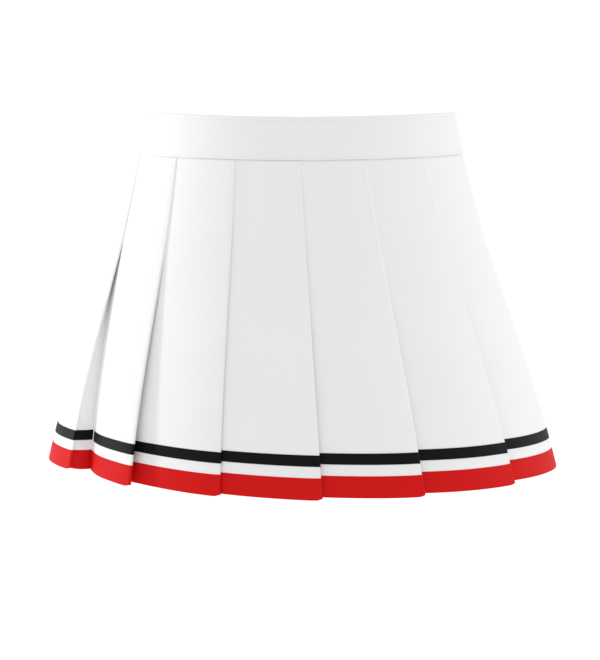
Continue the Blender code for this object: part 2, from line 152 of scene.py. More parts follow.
# Stage: the camera in front, and each light as (name, position, size, watts)
CAMERA_DISTANCE, CAMERA_TILT, CAMERA_LENS = 2.05, 5.31, 128.0
FLOOR, FLOOR_NEAR, SWEEP_NEAR, SWEEP_FAR, SWEEP_TOP = -0.75, -5.0, 0.4, 4.0, 2.0
SWEEP_RADIUS, SWEEP_HALF, SWEEP_GLOW = 1.5, 5.0, 0.2
SURROUND = 0.88
LIGHTS = (("left_box", (-2.15, 0.40, 0.15), 0.25, 17.0), ("right_box", (2.15, 0.30, 0.15), 0.5, 6.5))
LIGHTS_AIM = (0, 0, -0.15)


# ---------------------------------------------------------------- settings


class SkirtSizes(bpy.types.PropertyGroup):
    """Sizes that a maker would change."""

    cloth: bpy.props.FloatProperty(
        name="Cloth thickness", description="Thickness of the white knit", default=0.0006, unit="LENGTH"
    )
    red_height: bpy.props.FloatProperty(
        name="Red hem band", description="Height of the red band above the hem", default=0.0173, unit="LENGTH"
    )
    black_low: bpy.props.FloatProperty(
        name="Black braid, lower edge", description="Height above the hem", default=0.0264, unit="LENGTH"
    )
    black_high: bpy.props.FloatProperty(
        name="Black braid, upper edge", description="Height above the hem", default=0.0354, unit="LENGTH"
    )
    stitch_pitch: bpy.props.FloatProperty(
        name="Stitch pitch", description="From one stitch to the next", default=0.0027, unit="LENGTH"
    )
    thread: bpy.props.FloatProperty(
        name="Thread", description="Radius of the sewing thread", default=0.00017, unit="LENGTH"
    )
    swing_blend: bpy.props.FloatProperty(
        name="Flare bend", description="Length of cloth that bends where a pleat swings out", default=0.075,
        unit="LENGTH",
    )


class SkirtColours(bpy.types.PropertyGroup):
    """Colours of the cloth, trim and fittings."""

    white: bpy.props.FloatVectorProperty(
        name="Knit", description="White knit", subtype="COLOR", default=(0.90, 0.90, 0.905)
    )
    black: bpy.props.FloatVectorProperty(
        name="Black braid", description="Narrow stripe", subtype="COLOR", default=(0.004, 0.004, 0.0045)
    )
    red: bpy.props.FloatVectorProperty(
        name="Red band", description="Hem band", subtype="COLOR", default=(0.66, 0.008, 0.008)
    )
    thread: bpy.props.FloatVectorProperty(
        name="Thread", description="White sewing thread", subtype="COLOR", default=(0.86, 0.86, 0.865)
    )
    metal: bpy.props.FloatVectorProperty(
        name="Metal", description="Slider, stops, hook and eye", subtype="COLOR", default=(0.70, 0.70, 0.72)
    )
    label: bpy.props.FloatVectorProperty(
        name="Label", description="Satin ribbon", subtype="COLOR", default=(0.82, 0.82, 0.81)
    )


# ---------------------------------------------------------------- shape of the body and pleats


def ellipse_table():
    """Girth fraction against angle on an ellipse of unit half width, and its girth, by short steps."""
    angles = np.linspace(0.0, 2 * math.pi, 4097)
    middles = (angles[1:] + angles[:-1]) / 2
    steps = np.hypot(np.cos(middles), DEPTH_RATIO * np.sin(middles)) * np.diff(angles)
    lengths = np.concatenate([[0.0], np.cumsum(steps)])
    return angles, lengths / lengths[-1], lengths[-1]


ANGLES, FRACTIONS, UNIT_GIRTH = ellipse_table()
WIDTH_CURVE = np.poly1d(np.polyfit(*zip(*WIDTH_STATIONS), 3))


def girth(z):
    return WIDTH_CURVE(z) * UNIT_GIRTH


def angle_of(place):
    turns = np.floor(place)
    return 2 * math.pi * turns + np.interp(place - turns, FRACTIONS, ANGLES)


def half_depth(z):
    return WAIST_DEPTH - DEPTH_SLOPE * np.asarray(z)


def surface(place, z, out, shift=0.0):
    """Points (a sin t, -b cos t, z) on the body's ellipse, pushed out along its level normal.

    The front and back dip at the waist, less and less down to the hem.
    """
    place, z, out, shift = np.broadcast_arrays(place, z, out, shift)
    t = angle_of(place)
    a, b = WIDTH_CURVE(z), half_depth(z)
    normal = np.stack([b * np.sin(t), -a * np.cos(t)], -1)
    normal /= np.linalg.norm(normal, axis=-1, keepdims=True)
    x = a * np.sin(t) + out * normal[..., 0]
    y = -b * np.cos(t) + out * normal[..., 1]
    dipped = z - WAIST_DIP * np.cos(t) ** 2 * (1 + z / LENGTH) + shift
    return np.stack([x, y, dipped], -1)


def below(z, top):
    """0 at a height, rising evenly to 1 at the hem."""
    return np.clip((top - z) / (top + LENGTH), 0.0, 1.0)


def bell(k, centre, width):
    """exp(-(away / width)^2), where away is how many pleats k is from the centre, round the skirt."""
    away = (k - centre + PLEATS / 2) % PLEATS - PLEATS / 2
    return math.exp(-((away / width) ** 2))


def bumps(k, rows):
    """The sum of bells at pleat k, from rows of (height, centre, width)."""
    return sum(height * bell(k, centre, width) for height, centre, width in rows)


def fold_place(k, z):
    """Pleat k's outer fold: even places closed up at the front, leaning more the lower they are."""
    even = k / PLEATS - BACK_SPREAD * math.sin(2 * math.pi * k / PLEATS) / (2 * math.pi)
    return even + (LEAN + bumps(k, LEAN_BUMPS)) * below(z, -BAND_HEIGHT) / girth(z)


def overlap(k, z):
    """How far pleat k's inner fold lies behind its outer fold, and below 0 where the pleat hangs open."""
    hem = OVERLAP_HEM + bumps(k, OVERLAP_BUMPS)
    return OVERLAP_SEWN + (hem - OVERLAP_SEWN) * below(z, HINGE) ** (1 - bumps(k, SOON_BUMPS))


def lift(k, z):
    """How far pleat k's outer fold stands out from the inner fold behind it."""
    hem = LIFT_HEM + bumps(k, LIFT_BUMPS + LOOSE_BUMPS)
    down = np.clip((z + BAND_HEIGHT) / (HINGE + BAND_HEIGHT), 0, 1)
    sewn = LIFT_SEAM + (LIFT_HINGE - LIFT_SEAM) * down
    flatter = bumps(k, PRESSED_BUMPS)
    return sewn + flatter + (hem - LIFT_HINGE - flatter) * below(z, HINGE)


def valley(k, z):
    """(place, out) of the inner fold behind pleat k's outer fold."""
    return fold_place(k, z) - overlap(k, z) / girth(z), -(1 - OUTER_SHARE) * lift(k, z)


def panel(k, share, z):
    """(place, out) on panel k, from share 0 at its hidden start to 1 at its outer fold."""
    start_place, start_out = valley(k - 1, z)
    end_place, end_out = fold_place(k, z), OUTER_SHARE * lift(k, z)
    eased = 1 - (1 - share) ** PANEL_EASE
    return start_place + (end_place - start_place) * share, start_out + (end_out - start_out) * eased


def share_of(k, place, z):
    """The share of panel k's width at a place round the body."""
    first, last = panel(k, np.array([0.0, 1.0]), z)[0]
    return (place - first) / (last - first)


def hem_slope(k, share):
    """How much higher panel k's hem is at a share of its width than at its middle."""
    return -(HEM_TILT + bumps(k, TILT_BUMPS)) * (share - 0.5)


def pleat_name(k):
    return f"pleat_{k % PLEATS + 1:02d}"


def cloth_line(k, z):
    """Middle line of pleat k's cloth at one height, as (arc, out, shift up).

    The panel runs from its hidden start to the outer fold, half a turn of the fold's radius follows, and
    the return runs back as (overlap sin^2, lift cos) to the inner fold. Above the seam it is pressed flat.
    """
    spread = np.linspace(0.0, 1.0, PANEL_COLUMNS)
    shares = 1 - (1 - spread) ** COLUMN_EASE
    size = girth(z)
    if k == BACK_PLEAT:
        edges = share_of(k, BACK + np.array([-SLIT, SLIT]) / size, z)
        known = [0, SLIT_COLUMN, SLIT_COLUMN + 1, PANEL_COLUMNS - 1]
        shares = np.interp(np.arange(PANEL_COLUMNS), known, [0.0, *edges, 1.0])
    places, outs = panel(k, shares, z)
    arcs = places * size
    arcs[-1] -= FOLD_RADIUS
    turn = np.linspace(math.pi / 2, -math.pi / 2, TURN_COLUMNS + 2)[1:-1]
    fold_arc, fold_out = arcs[-1], OUTER_SHARE * lift(k, z) - FOLD_RADIUS
    back = np.linspace(0.0, math.pi / 2, RETURN_COLUMNS)
    depth = lift(k, z) - 2 * FOLD_RADIUS
    inner_out = -(1 - OUTER_SHARE) * lift(k, z)
    turn_arcs = fold_arc + FOLD_RADIUS * np.cos(turn)
    turn_outs = fold_out + FOLD_RADIUS * np.sin(turn)
    back_arcs = fold_arc - overlap(k, z) * np.sin(back) ** 2
    back_outs = inner_out + depth * np.cos(back)
    tail = np.linspace(0.0, 1.0, TAIL_COLUMNS + 1)[1:]
    reach = TAIL + bumps(k, TAIL_BUMPS) * below(z, HINGE)
    tail_arcs, tail_outs = back_arcs[-1] + reach * tail, back_outs[-1] - TAIL_DROP * tail ** 0.5
    from_fold = np.concatenate([
        fold_arc - arcs, np.zeros(TURN_COLUMNS), np.abs(fold_arc - back_arcs), np.full(TAIL_COLUMNS, TAIL),
    ])
    arcs = np.concatenate([arcs, turn_arcs, back_arcs, tail_arcs])
    outs = np.concatenate([outs, turn_outs, back_outs, tail_outs])
    fold_rise, next_rise = hem_slope(k, 1.0), hem_slope(k + 1, 0.0)
    slope = np.concatenate([
        hem_slope(k, shares), np.full(TURN_COLUMNS, fold_rise),
        fold_rise + (next_rise - fold_rise) * np.sin(back) ** 2, np.full(TAIL_COLUMNS, next_rise),
    ])
    shares = np.concatenate([shares, np.ones(TURN_COLUMNS + RETURN_COLUMNS + TAIL_COLUMNS)])
    low = below(z, HINGE)
    across = np.sin(angle_of(arcs / size))
    rise = HIP_RISE * across ** 2 - SIDE_RISE * across + slope
    corner = CORNER_RISE * np.exp(-np.maximum(from_fold, 0.0) / CORNER_RADIUS)
    at_hem = np.clip(1 - (z + LENGTH) / CORNER_HEIGHT, 0.0, 1.0)
    outs = outs + SWAY * low * np.sin(shares * 2 * math.pi + SWAY_TURN * k) * np.sin(shares * math.pi)
    pressed = np.clip((-BAND_HEIGHT + TUCK - z) / PRESS_LENGTH, 0.0, 1.0)
    pressed = PRESS_LEAST + (1 - PRESS_LEAST) * pressed * pressed * (3 - 2 * pressed)
    return arcs, outs * pressed, rise * low ** 2 + corner * at_hem ** 2


def cloth_rows(k, heights, near, columns=slice(None)):
    """Points at a distance square from the middle of pleat k's cloth, as (rows, columns, 3)."""
    rows = []
    for z in heights:
        arcs, outs, shift = cloth_line(k, z)
        along = np.stack([np.gradient(arcs), np.gradient(outs)])
        along /= np.linalg.norm(along, axis=0)
        places = (arcs - near * along[1]) / girth(z)
        rows.append(surface(places, z, outs + near * along[0], shift)[columns])
    return np.array(rows)


def cloth_lengths(k, heights, columns=slice(None)):
    """Distance along pleat k's cloth from its start, at each height: (rows, columns)."""
    rows = []
    for z in heights:
        arcs, outs, _ = cloth_line(k, z)
        steps = np.hypot(np.diff(arcs), np.diff(outs))
        rows.append(np.concatenate([[0.0], np.cumsum(steps)])[columns])
    return np.array(rows)


# ---------------------------------------------------------------- mesh building


def softened(value, power):
    """A cosine or sine with its size raised to a power, which squares off a circle into a superellipse."""
    return np.sign(value) * np.abs(value) ** power


def turns(count):
    """Angles evenly round a circle."""
    return np.linspace(0, 2 * math.pi, count, endpoint=False)


def add_mesh(name, points, faces, uv=None, smooth_angle=60.0):
    """A mesh object at the origin from points and a list of faces, with a UV map named cloth."""
    mesh = bpy.data.meshes.new(name)
    mesh.from_pydata(np.asarray(points, float).reshape(-1, 3).tolist(), [], faces)
    mesh.update()
    if uv is not None:
        layer = mesh.uv_layers.new(name="cloth")
        corners = np.empty(len(mesh.loops), np.int32)
        mesh.loops.foreach_get("vertex_index", corners)
        layer.data.foreach_set("uv", np.asarray(uv, np.float32).reshape(-1, 2)[corners].ravel())
    mesh.shade_smooth()
    mesh.set_sharp_from_angle(angle=math.radians(smooth_angle))
    made = bpy.data.objects.new(name, mesh)
    bpy.context.scene.collection.objects.link(made)
    return made


def grid_faces(rows, columns, start=0, wrap_rows=False, wrap_columns=False, flip=False):
    """Quads of a grid of points numbered along its rows, closed round either way."""
    r = np.arange(rows if wrap_rows else rows - 1)[:, None]
    c = np.arange(columns if wrap_columns else columns - 1)[None, :]
    below_row, next_column = (r + 1) % rows, (c + 1) % columns
    here, lower = r * columns, below_row * columns
    quads = np.stack([here + c, lower + c, lower + next_column, here + next_column], -1)
    quads = quads.reshape(-1, 4) + start
    return (quads[:, ::-1] if flip else quads).tolist()


def shell(name, outer, inner, uv, smooth_angle=60.0, slit=(0, 0)):
    """A closed sheet between two grids: the outer one faces out, the inner one in, and a rim joins them.

    A slit (rows, column) leaves out that many faces down from the top, beside that column.
    """
    rows, columns = outer.shape[:2]
    size = rows * columns
    index = np.arange(size).reshape(rows, columns)
    deep, column = slit
    keep = np.ones((rows - 1, columns - 1), bool)
    keep[:deep, column] = False
    faces = np.array(grid_faces(rows, columns))[keep.ravel()].tolist()
    faces += np.array(grid_faces(rows, columns, size, flip=True))[keep.ravel()].tolist()
    cut = [index[1:deep + 1, column], index[deep:0:-1, column + 1]] if deep else []
    border = np.concatenate([
        index[0, :column + 1], *cut, index[0, column + 1:-1],
        index[:-1, -1], index[-1, :0:-1], index[:0:-1, 0],
    ])
    after = np.roll(border, -1)
    faces += np.stack([border, after, after + size, border + size], -1).tolist()
    points = np.concatenate([outer.reshape(-1, 3), inner.reshape(-1, 3)])
    return add_mesh(name, points, faces, np.concatenate([uv, uv]), smooth_angle)


def cloth_shell(name, k, heights, near, far, columns=slice(None), slit=(0, 0)):
    """Pleat k's cloth, or trim on it, as a sheet between two distances from the cloth's middle."""
    across = cloth_lengths(k, heights, columns)
    uv = np.stack([across, np.broadcast_to(heights[:, None], across.shape)], -1).reshape(-1, 2)
    outer, inner = cloth_rows(k, heights, near, columns), cloth_rows(k, heights, far, columns)
    return shell(name, outer, inner, uv, slit=slit)


def caps(rings, sides, flip=False):
    """The two end faces of a tube whose sides are flipped grid faces."""
    last = (rings - 1) * sides
    ends = [list(range(sides))[::-1], [last + i for i in range(sides)]]
    return [end[::-1] for end in ends] if flip else ends


TUBE_REFERENCE = np.array([0.31, 0.17, 0.94])


def tube(name, path, radius, sides=8):
    """A round tube along an open path: rings square to it, each turned from the same reference direction."""
    path = np.asarray(path, float)
    ahead = np.gradient(path, axis=0)
    ahead /= np.linalg.norm(ahead, axis=1, keepdims=True)
    side = np.cross(ahead, TUBE_REFERENCE)
    side /= np.linalg.norm(side, axis=1, keepdims=True)
    other = np.cross(ahead, side)
    turn = turns(sides)[None, :, None]
    rings = path[:, None] + radius * (np.cos(turn) * side[:, None] + np.sin(turn) * other[:, None])
    faces = grid_faces(len(path), sides, wrap_columns=True, flip=True) + caps(len(path), sides)
    return add_mesh(name, rings, faces)


# Rings of one stitch, as (place along it, width, height), the last two in radii of the thread
STITCH_RINGS = ((-0.5, 0.35, -0.6), (-0.3, 0.9, 0.2), (0.0, 1.0, 0.45), (0.3, 0.9, 0.2), (0.5, 0.35, -0.6))
STITCH_SIDES = 6


def stitches(name, starts, ends, normals, radius):
    """Short threads from starts to ends, each five small rings that dip into the cloth at both ends."""
    starts, ends, normals = (np.asarray(a, float).reshape(-1, 3) for a in (starts, ends, normals))
    along = ends - starts
    unit = along / np.linalg.norm(along, axis=1, keepdims=True)
    normals = normals / np.linalg.norm(normals, axis=1, keepdims=True)
    across = np.cross(unit, normals)
    middle = (starts + ends) / 2
    turn = turns(STITCH_SIDES)[None, :, None]
    rings = []
    for at, wide, high in STITCH_RINGS:
        centre = middle + at * along + high * radius * normals
        spokes = np.cos(turn) * across[:, None] + np.sin(turn) * normals[:, None]
        rings.append(centre[:, None] + radius * wide * spokes)
    points = np.stack(rings, 1)
    one = np.array(grid_faces(len(STITCH_RINGS), STITCH_SIDES, wrap_columns=True))
    count = len(STITCH_RINGS) * STITCH_SIDES
    offsets = np.arange(len(starts)) * count
    faces = (one[None] + offsets[:, None, None]).reshape(-1, 4).tolist()
    first = np.arange(STITCH_SIDES)
    last = count - STITCH_SIDES + np.arange(STITCH_SIDES)[::-1]
    faces += (offsets[:, None] + first[None]).tolist() + (offsets[:, None] + last[None]).tolist()
    return add_mesh(name, points, faces)


def run_stitches(points, normals, pitch, fill=0.72):
    """Stitch ends and normals evenly spaced along a polyline, each covering a part of its pitch."""
    points, normals = np.asarray(points), np.asarray(normals)
    lengths = np.concatenate([[0.0], np.cumsum(np.linalg.norm(np.diff(points, axis=0), axis=1))])
    count = max(int(lengths[-1] / pitch), 1)
    starts = (np.arange(count) + (1 - fill) / 2) * lengths[-1] / count
    ends = starts + fill * lengths[-1] / count

    def at(values, where):
        return np.stack([np.interp(where, lengths, values[:, i]) for i in range(3)], -1)

    return at(points, starts), at(points, ends), at(normals, (starts + ends) / 2)


def sew(name, runs, radius, body, slot="white_knit", finish="thread"):
    """One piece of all the stitches in several runs of them."""
    starts, ends, normals = (np.concatenate(part) for part in zip(*runs))
    finish_piece(stitches(name, starts, ends, normals, radius), body, slot, paint(finish))


def at_level(outline, level):
    """A flat outline's points at one height."""
    return np.concatenate([outline, np.full((len(outline), 1), level)], 1)


def plate(name, outline, low, high, bevel, place):
    """A flat plate with bevelled rims: its outline drawn in at both faces, and closed by two flat caps."""
    outline = np.asarray(outline, float)
    ahead = np.roll(outline, -1, 0) - np.roll(outline, 1, 0)
    ahead /= np.linalg.norm(ahead, axis=1, keepdims=True)
    inward = np.stack([-ahead[:, 1], ahead[:, 0]], -1)
    rings = []
    for turn in np.linspace(0, math.pi / 2, 4):
        rings.append((bevel * (1 - math.sin(turn)), low + bevel * (1 - math.cos(turn))))
    rings += [(inset, low + high - level) for inset, level in rings[::-1]]
    grid = np.array([at_level(outline + inset * inward, level) for inset, level in rings])
    sides = len(outline)
    faces = grid_faces(len(rings), sides, wrap_columns=True, flip=True) + caps(len(rings), sides)
    return add_mesh(name, moved(grid, place), faces, smooth_angle=50.0)


def ring_plate(name, outer, inner, thick, bevel, place):
    """A flat plate with a hole: a rounded section carried from the outer outline to the inner one."""
    outer, inner = np.asarray(outer, float), np.asarray(inner, float)
    toward = inner - outer
    toward /= np.linalg.norm(toward, axis=1, keepdims=True)
    half = thick / 2
    section = []
    for turn in np.linspace(-math.pi / 2, math.pi / 2, 7):
        level = (half - bevel) * np.sign(turn) + bevel * math.sin(turn)
        section.append((0, bevel * (1 - math.cos(turn)), level))
    section = section + [(1, -inset, -level) for _, inset, level in section]
    edges = (outer, inner)
    grid = np.array([at_level(edges[side] + inset * toward, level) for side, inset, level in section])
    faces = grid_faces(len(section), len(outer), wrap_rows=True, wrap_columns=True, flip=True)
    return add_mesh(name, moved(grid, place), faces, smooth_angle=50.0)


def moved(points, place):
    matrix = np.array(place)
    return np.asarray(points) @ matrix[:3, :3].T + matrix[:3, 3]


def joined(name, pieces):
    """One object from several closed shells."""
    points, faces, start = [], [], 0
    for piece in pieces:
        mesh = piece.data
        points += [tuple(v.co) for v in mesh.vertices]
        faces += [[start + i for i in p.vertices] for p in mesh.polygons]
        start += len(mesh.vertices)
        bpy.data.objects.remove(piece)
    return add_mesh(name, points, faces, smooth_angle=50.0)


def finish_piece(piece, body, slot, finish, *nodes):
    """Paints a piece, hands it its body, and hides the frame nodes that it stands for. Its slot is not used."""
    piece.data.materials.append(finish)
    if body:
        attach(piece, body)
    if nodes:
        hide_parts(*nodes)
    return piece


# ---------------------------------------------------------------- materials


def new_group(name, inputs, outputs):
    """An empty node group with float or colour sockets, and its input and output nodes."""
    group = bpy.data.node_groups.new(name, "ShaderNodeTree")
    for kind, direction in ((inputs, "INPUT"), (outputs, "OUTPUT")):
        for label, socket in kind:
            group.interface.new_socket(name=label, in_out=direction, socket_type=socket)
    return group, group.nodes.new("NodeGroupInput"), group.nodes.new("NodeGroupOutput")


def math_node(tree, operation, first, second=None):
    node = tree.nodes.new("ShaderNodeMath")
    node.operation = operation
    for socket, value in zip(node.inputs, (first, second)):
        if isinstance(value, bpy.types.NodeSocket):
            tree.links.new(value, socket)
        elif value is not None:
            socket.default_value = value
    return node.outputs[0]


def new_node(tree, kind, vector=None, **values):
    """A shader node with some of its inputs set, and its vector linked."""
    node = tree.nodes.new(f"ShaderNode{kind}")
    for label, value in values.items():
        node.inputs[label].default_value = value
    if vector is not None:
        tree.links.new(vector, node.inputs["Vector"])
    return node


def knit_group():
    """Fine knit: loops as |sin| across and a zigzag down, with broad soft clouding and painted shade in the
    grooves between the wales.
    """
    if "fine_knit" in bpy.data.node_groups:
        return bpy.data.node_groups["fine_knit"]
    group, source, sink = new_group(
        "fine_knit",
        (("Vector", "NodeSocketVector"), ("Wale", "NodeSocketFloat"), ("Course", "NodeSocketFloat")),
        (("Height", "NodeSocketFloat"), ("Shade", "NodeSocketFloat")),
    )
    parts = group.nodes.new("ShaderNodeSeparateXYZ")
    group.links.new(source.outputs["Vector"], parts.inputs[0])
    across = math_node(group, "DIVIDE", parts.outputs[0], source.outputs["Wale"])
    down = math_node(group, "DIVIDE", parts.outputs[1], source.outputs["Course"])
    half_turns = math_node(group, "MULTIPLY", across, math.pi)
    wale = math_node(group, "ABSOLUTE", math_node(group, "SINE", half_turns))
    vee = math_node(group, "PINGPONG", across, 0.5)
    zigzag = math_node(group, "MULTIPLY", math_node(group, "ADD", down, vee), 2 * math.pi)
    course = math_node(group, "SINE", zigzag)
    loops = math_node(group, "MULTIPLY", wale, math_node(group, "MULTIPLY_ADD", course, 0.25))
    noise = new_node(group, "TexNoise", source.outputs["Vector"], Scale=2400.0, Detail=2.0)
    fuzz = math_node(group, "MULTIPLY", noise.outputs["Fac"], 0.5)
    group.links.new(math_node(group, "ADD", loops, fuzz), sink.inputs["Height"])
    cloud = new_node(group, "TexNoise", source.outputs["Vector"], Scale=14.0, Detail=3.0)
    tone = math_node(group, "MULTIPLY", math_node(group, "SUBTRACT", cloud.outputs["Fac"], 0.5), 0.035)
    # Painted shade: the colour is about 1% darker in the grooves between the wales, where the loop height is low.
    dip = math_node(group, "MULTIPLY", math_node(group, "SUBTRACT", wale, 0.6), 0.02)
    group.links.new(math_node(group, "ADD", math_node(group, "ADD", tone, dip), 1.0), sink.inputs["Shade"])
    return group


def base_material(name, colour, roughness, metallic=0.0, sheen=0.0, specular=0.5):
    made = bpy.data.materials.new(name)
    made.use_nodes = True
    made.diffuse_color = (*colour, 1.0)
    shader = made.node_tree.nodes["Principled BSDF"]
    shader.inputs["Base Color"].default_value = (*colour, 1.0)
    shader.inputs["Roughness"].default_value = roughness
    shader.inputs["Metallic"].default_value = metallic
    shader.inputs["Sheen Weight"].default_value = sheen
    shader.inputs["Sheen Roughness"].default_value = 0.45
    shader.inputs["Specular IOR Level"].default_value = specular
    return made, made.node_tree, shader


def cloth_material(name, colour, roughness, wale, course, bump, sheen, specular, by_uv):
    """Knitted or woven cloth: the knit group shades the colour and raises the loops through a bump."""
    made, tree, shader = base_material(name, colour, roughness, 0.0, sheen, specular)
    if by_uv:
        where = tree.nodes.new("ShaderNodeUVMap")
        where.uv_map = "cloth"
        vector = where.outputs["UV"]
    else:
        vector = tree.nodes.new("ShaderNodeTexCoord").outputs["Object"]
    knit = tree.nodes.new("ShaderNodeGroup")
    knit.node_tree = knit_group()
    tree.links.new(vector, knit.inputs["Vector"])
    knit.inputs["Wale"].default_value = wale
    knit.inputs["Course"].default_value = course
    tint = tree.nodes.new("ShaderNodeVectorMath")
    tint.operation = "SCALE"
    tint.inputs[0].default_value = colour
    tree.links.new(knit.outputs["Shade"], tint.inputs["Scale"])
    tree.links.new(tint.outputs[0], shader.inputs["Base Color"])
    raise_loops = new_node(tree, "Bump", Strength=bump, Distance=0.0002)
    tree.links.new(knit.outputs["Height"], raise_loops.inputs["Height"])
    tree.links.new(raise_loops.outputs[0], shader.inputs["Normal"])
    return made


def metal_material(name, colour):
    """Plated metal with fine handling marks in its roughness and a faint uneven surface."""
    made, tree, shader = base_material(name, colour, 0.3, 1.0)
    where = tree.nodes.new("ShaderNodeTexCoord")
    noise = new_node(tree, "TexNoise", where.outputs["Object"], Scale=900.0, Detail=4.0)
    tree.links.new(math_node(tree, "MULTIPLY_ADD", noise.outputs["Fac"], 0.22), shader.inputs["Roughness"])
    bump = new_node(tree, "Bump", Strength=0.15, Distance=0.0001)
    tree.links.new(noise.outputs["Fac"], bump.inputs["Height"])
    tree.links.new(bump.outputs[0], shader.inputs["Normal"])
    return made


# Each cloth finish as (colour or its setting, roughness, wale, course, bump, sheen, specular, by UV map)
CLOTH_FINISHES = {
    "white_cloth": ("white", 0.62, 0.0009, 0.0011, 0.18, 0.12, 0.25, True),
    "black_trim": ("black", 0.55, 0.0010, 0.0008, 0.35, 0.0, 0.10, True),
    "red_trim": ("red", 0.6, 0.0009, 0.0010, 0.25, 0.0, 0.08, True),
    "thread": ("thread", 0.5, 0.0002, 0.0002, 0.2, 0.12, 0.25, False),
    "red_thread": ("red", 0.5, 0.0002, 0.0002, 0.2, 0.0, 0.25, False),
    "elastic_weave": ((0.75, 0.75, 0.73), 0.8, 0.0016, 0.0009, 0.6, 0.12, 0.25, False),
    "tape_weave": ((0.84, 0.84, 0.85), 0.7, 0.0006, 0.0007, 0.5, 0.12, 0.25, True),
    "coil_nylon": ((0.85, 0.85, 0.86), 0.32, 0.004, 0.004, 0.05, 0.12, 0.5, False),
    "label_satin": ("label", 0.38, 0.0005, 0.0002, 0.3, 0.3, 0.5, True),
}


def paint(name):
    """The finish of that name, made the first time it is asked for."""
    if name in bpy.data.materials:
        return bpy.data.materials[name]
    colours = bpy.context.scene.skirt_colours
    if name == "plated_metal":
        return metal_material(name, tuple(colours.metal))
    colour, *values = CLOTH_FINISHES[name]
    if isinstance(colour, str):
        colour = tuple(getattr(colours, colour))
    return cloth_material(name, colour, *values)


# ---------------------------------------------------------------- pieces


class SKIRT_OT_pleats(bpy.types.Operator):
    """Thirteen knife pleats, each one sheet of cloth from the waistband seam to the hem"""

    bl_idname = "skirt.pleats"
    bl_label = "Pleats"

    def execute(self, context):
        sizes = context.scene.skirt_sizes
        sewn_rows = np.linspace(-BAND_HEIGHT + TUCK, -BAND_HEIGHT - 0.004, SEWN_ROWS)
        free_rows = np.linspace(-BAND_HEIGHT - 0.006, -LENGTH + 0.0008, FREE_ROWS)
        heights = np.concatenate([sewn_rows, free_rows])
        half = sizes.cloth / 2
        yokes = ("yoke_front", "yoke_back_left", "yoke_back_right")
        for k in range(PLEATS):
            body = pleat_name(k)
            slit = (int(np.sum(heights > SLIT_BOTTOM)), SLIT_COLUMN) if k == BACK_PLEAT else (0, 0)
            gore = cloth_shell(f"cloth_{body}", k, heights, half, -half, slit=slit)
            finish_piece(gore, None, "white_knit", paint("white_cloth"), body, *(yokes if k == 0 else ()))
            middle = Vector(surface((fold_place(k - 1, -LENGTH) + fold_place(k, -LENGTH)) / 2, -LENGTH, 0.0))
            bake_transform(gore)
        return {"FINISHED"}


class SKIRT_OT_trim(bpy.types.Operator):
    """The black braid and the red hem band, a length on each pleat that follows its folds"""

    bl_idname = "skirt.trim"
    bl_label = "Stripes"

    def execute(self, context):
        sizes = context.scene.skirt_sizes
        face = sizes.cloth / 2
        braid_rows = -LENGTH + np.linspace(sizes.black_high, sizes.black_low, 7)
        band_rows = -LENGTH + np.linspace(sizes.red_height, -0.0002, 10)
        proud, close = face + BRAID_THICK, face + BRAID_GAP
        for k in range(PLEATS):
            body = pleat_name(k)
            number = body[-2:]
            braid = cloth_shell(f"braid_{number}", k, braid_rows, proud + BRAID_GAP, close, slice(3, -1))
            finish_piece(braid, body, "black_braid", paint("black_trim"), f"black_braid_{number}")
            band = cloth_shell(f"hem_band_{number}", k, band_rows, proud, -proud)
            finish_piece(band, body, "red_braid", paint("red_trim"), f"red_hem_band_{number}")
            ends = (-BAND_HEIGHT - 0.004, -LENGTH)
            seam_width, hem_width = (float(cloth_lengths(k, [z])[0, -1]) for z in ends)
        return {"FINISHED"}


def band_profile(layer, top, bottom, count=44):
    """(out, height) of a turned-edge band's section: two soft faces with a groove at each stitch row."""
    thick = layer[1] - layer[0]
    radius = thick / 2
    z = np.linspace(top - radius, bottom + radius, count)
    middle = (z - (top + bottom) / 2) / (top - bottom) * 2
    swell = SWELL * (1 - middle ** 2)
    rows = (top - BAND_EDGE_STITCH, bottom + BAND_SEAM_STITCH)
    grooves = sum(np.exp(-(((z - row) / GROOVE_WIDTH) ** 2)) for row in rows)
    face = layer[1] + swell - GROOVE * grooves
    back = np.full_like(z, layer[0])
    turn = np.linspace(math.pi / 2, -math.pi / 2, 7)[1:-1]
    centre = (layer[0] + layer[1]) / 2
    low = np.stack([centre + radius * np.sin(turn), bottom + radius - radius * np.cos(turn)], -1)
    high = np.stack([centre - radius * np.sin(turn), top - radius + radius * np.cos(turn)], -1)
    return np.concatenate([np.stack([face, z], -1), low, np.stack([back, z], -1)[::-1], high])


def band(name, layer, top, bottom, margin):
    """A band round the body: its section carried along the girth from one side of the zip to the other."""
    profile = band_profile(layer, top, bottom)
    edge = margin / girth(-BAND_HEIGHT / 2)
    places = np.linspace(-BACK + edge, BACK - edge, 361)
    grid = np.stack([surface(places, z, out) for out, z in profile])
    rows, columns = grid.shape[:2]
    faces = grid_faces(rows, columns, wrap_rows=True)
    faces += [[r * columns for r in range(rows)], [r * columns + columns - 1 for r in range(rows)][::-1]]
    around = np.concatenate([[0.0], np.cumsum(np.hypot(*np.diff(profile, axis=0).T))])
    along = places * girth(-BAND_HEIGHT / 2)
    uv = np.stack(np.broadcast_arrays(along[None, :], around[:, None]), -1).reshape(-1, 2)
    return add_mesh(name, grid, faces, uv, smooth_angle=70.0)


